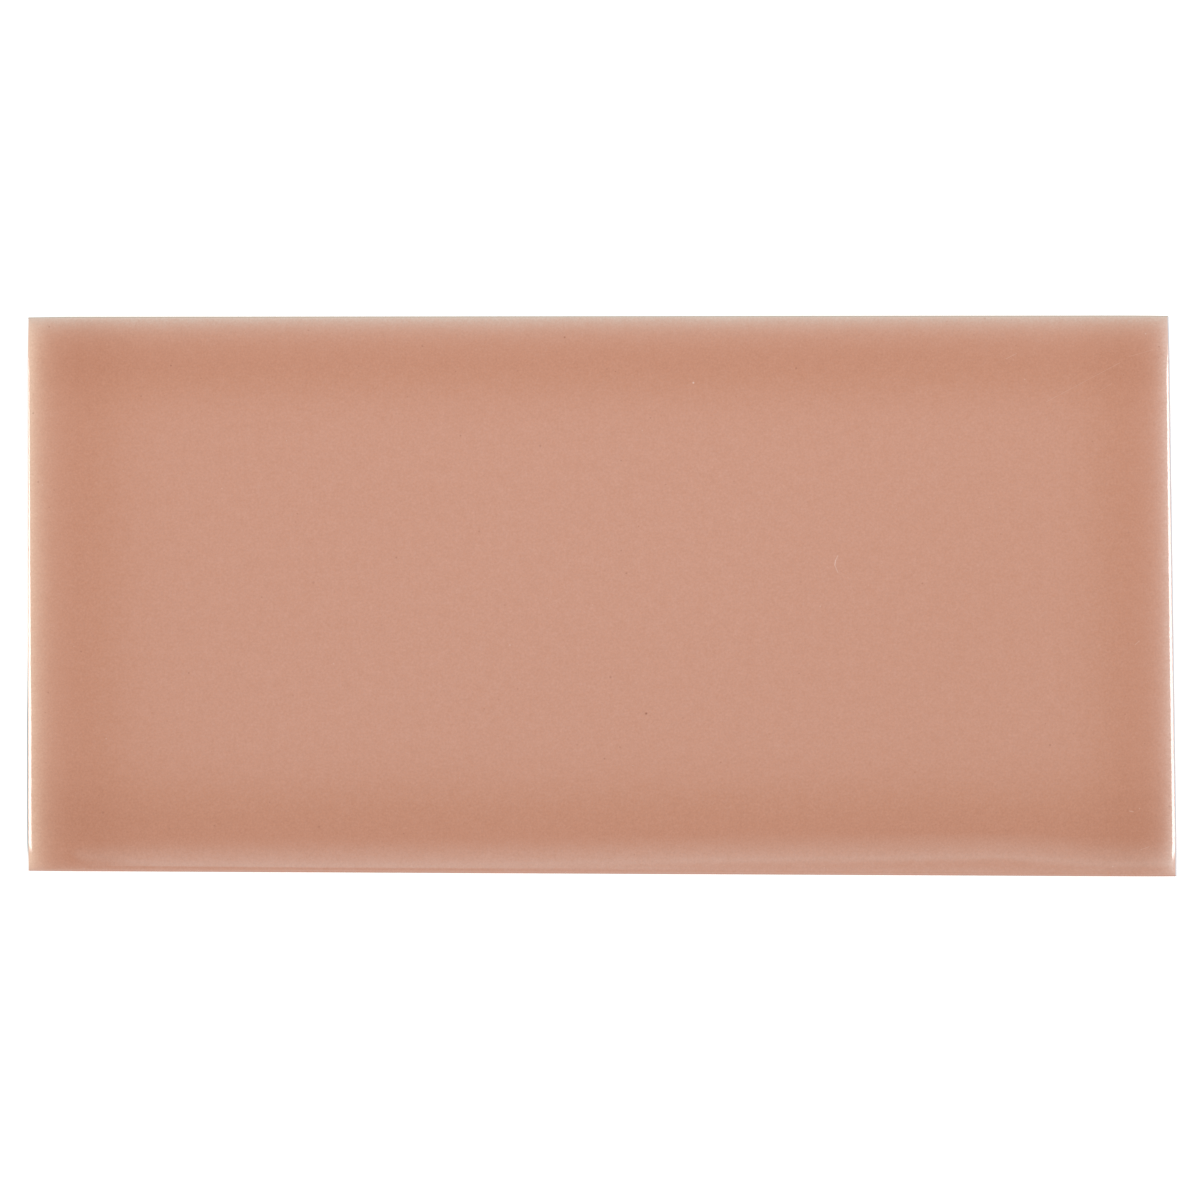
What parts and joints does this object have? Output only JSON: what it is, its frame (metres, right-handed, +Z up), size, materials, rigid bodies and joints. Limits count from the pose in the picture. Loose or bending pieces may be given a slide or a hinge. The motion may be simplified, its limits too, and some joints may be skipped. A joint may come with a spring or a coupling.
{
  "type": "field tile",
  "caption": "Flat rectangular glazed ceramic wall tile with cushion edges and a grooved back, laid in rows to face a wall.",
  "frame": {"origin": "middle of the back, on the plane that the tile rests on", "axes": "+Z up out of the glazed face, +X along the length, +Y across the width"},
  "size_m": [0.15, 0.073, 0.008],
  "materials": {
    "glazed_body": "gloss"
  },
  "bodies": {
    "root": {"field_tile": "glazed_body"}
  },
  "joints": []
}
